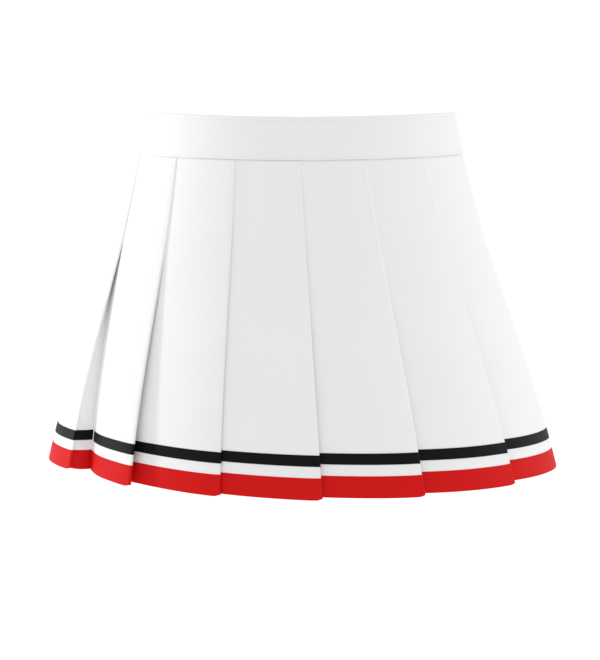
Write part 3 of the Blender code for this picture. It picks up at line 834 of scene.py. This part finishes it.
class SKIRT_OT_waistband(bpy.types.Operator):
    """The waistband's outer layer and its facing, with turned edges"""

    bl_idname = "skirt.waistband"
    bl_label = "Waistband"

    def execute(self, context):
        outer = band("waistband_cloth", BAND_OUTER, 0.0, -BAND_HEIGHT, SLIT)
        finish_piece(outer, TOP, "white_knit", paint("white_cloth"), "waistband_outer")
        facing = band("waistband_lining", BAND_FACING, FACING_TOP, -BAND_HEIGHT, SLIT)
        finish_piece(facing, TOP, "white_knit", paint("white_cloth"), "waistband_facing")
        length = float(girth(-BAND_HEIGHT / 2)) - 2 * SLIT
        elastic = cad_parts["waistband_elastic"]
        elastic.data.materials.clear()
        elastic.data.materials.append(paint("elastic_weave"))
        return {"FINISHED"}


def run_down(k, heights, place_at, face, pitch):
    """A run of stitches down the face of panel k, through the places that place_at gives for each height."""
    points, raised = [], []
    for z in heights:
        place, out = panel(k, share_of(k, place_at(z), z), z)
        points.append(surface(place, z, out + face))
        raised.append(surface(place, z, out + STITCH_REACH))
    return run_stitches(points, np.array(raised) - np.array(points), pitch)


class SKIRT_OT_stitching(bpy.types.Operator):
    """Topstitching on the band, beside the sewn part of each fold and the zip, and along the hem trim"""

    bl_idname = "skirt.stitching"
    bl_label = "Stitching"

    def execute(self, context):
        sizes = context.scene.skirt_sizes
        thread, pitch, face = sizes.thread, sizes.stitch_pitch, sizes.cloth / 2
        edge = (SLIT + 0.002) / girth(-BAND_HEIGHT / 2)
        places = np.linspace(-BACK + edge, BACK - edge, 721)
        out = BAND_OUTER[1] - GROOVE + 0.00012
        runs = []
        for z in (-BAND_EDGE_STITCH, -BAND_HEIGHT + BAND_SEAM_STITCH):
            points = surface(places, z, out)
            runs.append(run_stitches(points, surface(places, z, out + STITCH_REACH) - points, pitch))
        sew("band_topstitch", runs, thread, TOP)
        self.pleats(thread, pitch, face)
        for k in range(PLEATS):
            body = pleat_name(k)
            for up, word, slot, finish in HEM_ROWS:
                top = face + (BRAID_THICK if up < sizes.red_height else 0.0)
                points, raised = (
                    cloth_rows(k, [-LENGTH + up], near, slice(6, -2))[0] for near in (top, top + 0.002)
                )
                run = run_stitches(points, raised - points, pitch)
                sew(f"{word}_topstitch_{body[-2:]}", [run], thread * 0.9, body, slot, finish)
        return {"FINISHED"}

    def pleats(self, thread, pitch, face):
        """A row beside each fold as far as it is sewn, and one at each side of the zip."""
        runs = []
        heights = np.linspace(-BAND_HEIGHT - 0.003, HINGE - 0.001, 60)
        for k in range(PLEATS):
            runs.append(run_down(k, heights, lambda z: fold_place(k, z) - FOLD_STITCH_IN / girth(z), face, pitch))
        heights = np.linspace(-BAND_HEIGHT - 0.003, SLIT_BOTTOM, 60)
        for side in (-1, 1):
            away = side * (SLIT + ZIP_STITCH_OUT)
            runs.append(run_down(BACK_PLEAT, heights, lambda z: BACK + away / girth(z), face, pitch))
        sew("pleat_topstitch", runs, thread, TOP)


def back_frame(z):
    """Axes at the centre back: x to +X, y down the slope of the skirt and z straight out of it."""
    middle = Vector(surface(BACK, z, 0.0))
    down = (Vector(surface(BACK, z - 0.01, 0.0)) - middle).normalized()
    across = Vector((1, 0, 0))
    out = across.cross(down).normalized()
    out = -out if out.y < 0 else out
    return Matrix.Translation(middle) @ Matrix((across, down, out)).transposed().to_4x4()


class SKIRT_OT_zip(bpy.types.Operator):
    """The centre-back zip: woven tapes, two coils of teeth, slider, pull tab and stops"""

    bl_idname = "skirt.zip"
    bl_label = "Zip"

    def execute(self, context):
        for side, word in ((1, "left"), (-1, "right")):
            self.tape(side, word)
            self.coil(side, word)
        self.slider()
        self.pull_tab()
        self.stops()
        return {"FINISHED"}

    def tape(self, side, word):
        """A flat strip with a ridge along the coil's edge, between two distances from the body."""
        offsets = np.linspace(*TAPE_EDGES, TAPE_COLUMNS)
        heights = np.linspace(TAPE_TOP, TAPE_BOTTOM, TAPE_ROWS)[:, None]
        ridge = RIDGE_HEIGHT * np.exp(-(((offsets - TAPE_EDGES[0] - RIDGE_IN) / RIDGE_WIDTH) ** 2))
        if side > 0:
            offsets, ridge = offsets[::-1], ridge[::-1]
        places = BACK - side * offsets[None, :] / girth(heights)
        outer = surface(places, heights, TAPE[1] + ridge[None, :])
        inner = surface(places, heights, TAPE[0])
        uv = np.stack(np.broadcast_arrays(offsets[None, :], heights), -1).reshape(-1, 2)
        piece = shell(f"tape_{word}", outer, inner, uv)
        finish_piece(piece, TOP, "zip_tape", paint("tape_weave"), f"zip_tape_{word}")

    def coil(self, side, word):
        """A helix of flattened turns down the tape's edge, half a turn apart from the other side's."""
        count = (COIL_TOP - COIL_BOTTOM) / COIL_PITCH
        turn = np.linspace(0, 2 * math.pi * count, int(count * COIL_STEPS))
        x = side * (COIL_MIDDLE + COIL_HALF_WIDTH * np.cos(turn))
        down = turn / (2 * math.pi) * COIL_PITCH + (COIL_PITCH / 2 if side < 0 else 0.0)
        out = COIL_OUT + COIL_HALF_THICK * np.sin(turn)
        path = moved(np.stack([x, down, out], -1), back_frame(COIL_TOP))
        piece = tube(f"coil_{word}", path, COIL_WIRE, sides=6)
        finish_piece(piece, TOP, "zip_coil", paint("coil_nylon"), f"zip_coil_{word}")

    def slider(self):
        """Two shield-shaped plates, a web between the coils and a bail arched along the top plate."""
        place = back_frame(SLIDER_AT)
        turn = turns(48)
        wide = SLIDER_HALF * softened(np.cos(turn), 0.6) * (1 - SLIDER_TAPER * np.sin(turn))
        outline = np.stack([wide, SLIDER_LONG * softened(np.sin(turn), 0.75)], -1)
        slim = np.stack([WEB_HALF * np.cos(turn), WEB_DOWN + WEB_LONG * np.sin(turn)], -1)
        bend = np.linspace(0, math.pi, 25)
        arch = [0 * bend, -BAIL_LONG * np.cos(bend), BAIL_FOOT + BAIL_RISE * np.sin(bend) ** 0.6]
        piece = joined("slider", [
            plate("slider_top", outline, *SLIDER_TOP, PLATE_BEVEL, place),
            plate("slider_back", outline, *SLIDER_BACK, PLATE_BEVEL, place),
            plate("slider_web", slim, *SLIDER_WEB, WEB_BEVEL, place),
            self.strap("slider_bail", np.stack(arch, -1), *BAIL_SECTION, place),
        ])
        finish_piece(piece, "zip_slider", "slider_metal", paint("plated_metal"), "zip_slider")

    def strap(self, name, path, half_wide, half_thick, place, sides=16):
        """A rounded strap along a path in the plane x = 0, its section a superellipse."""
        ahead = np.gradient(path, axis=0)
        ahead /= np.linalg.norm(ahead, axis=1, keepdims=True)
        across = np.array([1.0, 0, 0])
        up = np.cross(across, ahead)
        x = half_wide * softened(np.cos(turns(sides)), 0.5)
        y = half_thick * softened(np.sin(turns(sides)), 0.7)
        grid = path[:, None] + x[None, :, None] * across + y[None, :, None] * up[:, None]
        faces = grid_faces(len(path), sides, wrap_columns=True) + caps(len(path), sides, flip=True)
        return add_mesh(name, moved(grid, place), faces)

    def pull_tab(self):
        """A tapered tab with an eye near the bail end that the bail passes through."""
        place = back_frame(SLIDER_AT) @ Matrix.Translation((0, 0, TAB_OUT))
        turn = turns(64)
        y = TAB_MIDDLE - TAB_LONG * np.cos(turn)
        grow = np.clip((y - 0.004) / 0.005, 0, 1)
        half = TAB_HALF + TAB_GROWTH * grow * grow * (3 - 2 * grow)
        outer = np.stack([half * softened(np.sin(turn), 0.35), y], -1)
        eye_y = TAB_EYE_MIDDLE - TAB_EYE_LONG * np.cos(turn)
        inner = np.stack([TAB_EYE_HALF * softened(np.sin(turn), 0.4), eye_y], -1)
        tab = ring_plate("pull_tab", outer, inner, TAB_THICK, TAB_BEVEL, place)
        finish_piece(tab, "zip_pull_tab", "slider_metal", paint("plated_metal"), "zip_pull_tab")

    def stops(self):
        """Crimped metal blocks: one above each coil, and one across both below."""
        turn = turns(24)
        rounded = np.stack([softened(np.cos(turn), 0.5), softened(np.sin(turn), 0.5)], -1)
        above, under = back_frame(COIL_TOP + TOP_STOP_UP), back_frame(COIL_BOTTOM - BOTTOM_STOP_DOWN)
        for name, size, across, place in (
            ("top_stop_left", TOP_STOP, TOP_STOP_ACROSS, above),
            ("top_stop_right", TOP_STOP, -TOP_STOP_ACROSS, above),
            ("bottom_stop", BOTTOM_STOP, 0.0, under),
        ):
            piece = plate(name, rounded * size + (across, 0.0), *STOP_DEPTH, STOP_BEVEL, place)
            finish_piece(piece, TOP, "slider_metal", paint("plated_metal"), f"zip_{name}")


def smooth_path(points, count):
    """A curve through points: each coordinate a Catmull-Rom cubic between neighbours."""
    points = np.asarray(points, float)
    padded = np.concatenate([2 * points[:1] - points[1:2], points, 2 * points[-1:] - points[-2:-1]])
    where = np.linspace(0, len(points) - 1, count)
    index = np.minimum(where.astype(int), len(points) - 2)
    t = (where - index)[:, None]
    a, b, c, d = (padded[index + i] for i in range(4))
    square, cube = 2 * a - 5 * b + 4 * c - d, 3 * b - a - 3 * c + d
    return 0.5 * (2 * b + (c - a) * t + square * t ** 2 + cube * t ** 3)


class SKIRT_OT_fastening(bpy.types.Operator):
    """The wire hook and eye above the zip, and the blank care label inside the band"""

    bl_idname = "skirt.fastening"
    bl_label = "Hook, eye and label"

    def execute(self, context):
        self.hook(back_frame(HOOK_AT))
        self.eye(back_frame(HOOK_AT))
        self.label()
        return {"FINISHED"}

    def hook(self, place):
        """Wire out of the right side of the band, bent back on itself past the centre."""
        around = np.radians((60, 20, -20, -60, -90))
        middle, end = HOOK_OUT - HOOK_BEND, HOOK_OUT - 2 * HOOK_BEND
        bend = [(HOOK_NOSE + HOOK_BEND * math.cos(a), 0, middle + HOOK_BEND * math.sin(a)) for a in around]
        path = [*((x, 0, HOOK_OUT) for x in HOOK_SHANK), *bend, (HOOK_RETURN, 0, end)]
        piece = tube("hook", moved(smooth_path(path, 80), place), WIRE, sides=10)
        finish_piece(piece, TOP, "hook_wire", paint("plated_metal"), "waist_hook")

    def eye(self, place):
        """A loop of wire out of the left side of the band, its bar inside the hook."""
        middle, (foot, knee) = HOOK_OUT - HOOK_BEND, EYE_FEET
        half = [
            (foot, EYE_LEG + 0.001, middle), (knee, EYE_LEG, middle),
            (EYE_BAR + 0.0006, EYE_LEG, middle), (EYE_BAR, EYE_LEG - 0.0006, middle),
        ]
        path = half + [(x, -y, z) for x, y, z in half[::-1]]
        piece = tube("eye", moved(smooth_path(path, 100), place), WIRE, sides=10)
        finish_piece(piece, TOP, "hook_wire", paint("plated_metal"), "waist_eye")

    def label(self):
        """A ribbon rectangle following the facing, its loose lower edge curling a little off it."""
        heights = np.linspace(LABEL_TOP, LABEL_BOTTOM, 21)[:, None]
        offsets = np.linspace(LABEL_NEAR, LABEL_FAR, 40)[None, :]
        places = BACK - offsets[:, ::-1] / girth(0.0)
        curl = LABEL_CURL * ((heights - LABEL_TOP) / (LABEL_BOTTOM - LABEL_TOP)) ** 2
        out = BAND_FACING[0] - LABEL_GAP - curl
        outer, inner = surface(places, heights, out), surface(places, heights, out - LABEL_THICK)
        uv = np.stack(np.broadcast_arrays(offsets, heights), -1).reshape(-1, 2)
        piece = shell("care_label", outer, inner, uv)
        finish_piece(piece, TOP, "label", paint("label_satin"), "blank_label")


# ---------------------------------------------------------------- stage


class SKIRT_OT_stage(bpy.types.Operator):
    """A plain white sweep, a bright white surround, a soft box level with each side, and the camera"""

    bl_idname = "skirt.stage"
    bl_label = "Stage"

    def execute(self, context):
        self.sweep()
        for light in LIGHTS:
            self.light(*light)
        world = bpy.data.worlds.new("studio")
        world.use_nodes = True
        background = world.node_tree.nodes["Background"]
        background.inputs[0].default_value = (1, 1, 1, 1)
        background.inputs[1].default_value = SURROUND
        context.scene.world = world
        context.scene.view_settings.view_transform = "Standard"
        self.camera(context)
        return {"FINISHED"}

    def sweep(self):
        """A floor, and behind it a glowing sweep: a quarter circle from level to upright."""
        bend = np.linspace(0, math.pi / 2, 24)
        y = [[SWEEP_NEAR], SWEEP_FAR + SWEEP_RADIUS * np.sin(bend), [SWEEP_FAR + SWEEP_RADIUS]]
        z = [[FLOOR], FLOOR + SWEEP_RADIUS * (1 - np.cos(bend)), [SWEEP_TOP]]
        self.backdrop("sweep", np.concatenate(y), np.concatenate(z), SWEEP_GLOW)
        self.backdrop("floor", np.array([FLOOR_NEAR, SWEEP_NEAR]), np.array([FLOOR, FLOOR]), 0.0)

    def backdrop(self, name, y, z, glow):
        """A profile in y and z carried along X, in matt white."""
        x = np.array([-SWEEP_HALF, SWEEP_HALF])
        grid = np.stack(np.broadcast_arrays(x[:, None], y[None, :], z[None, :]), -1)
        piece = add_mesh(name, grid, grid_faces(2, len(y)))
        made, tree, shader = base_material(f"{name}_white", (0.95, 0.95, 0.95), 0.9)
        noise = new_node(tree, "TexNoise", Scale=3.0)
        rough = math_node(tree, "MULTIPLY_ADD", noise.outputs["Fac"], 0.05)
        tree.links.new(rough, shader.inputs["Roughness"])
        shader.inputs["Emission Color"].default_value = (1, 1, 1, 1)
        shader.inputs["Emission Strength"].default_value = glow
        piece.data.materials.append(made)

    def light(self, name, position, size, power):
        """A round soft light aimed at the skirt."""
        data = bpy.data.lights.new(name, "AREA")
        data.shape = "DISK"
        data.size = size
        data.energy = power
        lamp = bpy.data.objects.new(name, data)
        lamp.location = position
        aim = Vector(LIGHTS_AIM) - Vector(position)
        lamp.rotation_euler = aim.to_track_quat("-Z", "Y").to_euler()
        bpy.context.scene.collection.objects.link(lamp)

    def camera(self, context):
        """A long lens level with the waist, tilted down."""
        data = bpy.data.cameras.new("camera")
        data.lens = CAMERA_LENS
        data.clip_end = 50
        seen = bpy.data.objects.new("camera", data)
        seen.location = (0.0, -CAMERA_DISTANCE, 0.0)
        seen.rotation_euler = (math.radians(90 - CAMERA_TILT), 0, 0)
        context.scene.collection.objects.link(seen)
        context.scene.camera = seen


# ---------------------------------------------------------------- add-on


class SKIRT_PT_panel(bpy.types.Panel):
    """The skirt's settings, and a button for each group of pieces"""

    bl_label = "Cheer skirt"
    bl_idname = "SKIRT_PT_panel"
    bl_space_type = "VIEW_3D"
    bl_region_type = "UI"
    bl_category = "Skirt"

    def draw(self, context):
        for group in (context.scene.skirt_sizes, context.scene.skirt_colours):
            for key in group.__annotations__:
                self.layout.prop(group, key)
        for operator in OPERATORS:
            self.layout.operator(operator.bl_idname)


OPERATORS = (
    SKIRT_OT_stage, SKIRT_OT_waistband, SKIRT_OT_pleats, SKIRT_OT_trim, SKIRT_OT_stitching, SKIRT_OT_zip,
    SKIRT_OT_fastening,
)
CLASSES = (SkirtSizes, SkirtColours, *OPERATORS, SKIRT_PT_panel)


def register():
    for each in CLASSES:
        bpy.utils.register_class(each)
    bpy.types.Scene.skirt_sizes = bpy.props.PointerProperty(type=SkirtSizes)
    bpy.types.Scene.skirt_colours = bpy.props.PointerProperty(type=SkirtColours)


def unregister():
    del bpy.types.Scene.skirt_colours
    del bpy.types.Scene.skirt_sizes
    for each in reversed(CLASSES):
        bpy.utils.unregister_class(each)


def main():
    register()
    bpy.ops.skirt.stage()
    bpy.ops.skirt.waistband()
    bpy.ops.skirt.pleats()
    bpy.ops.skirt.trim()
    bpy.ops.skirt.stitching()
    bpy.ops.skirt.zip()
    bpy.ops.skirt.fastening()


if __name__ == "__main__":
    main()
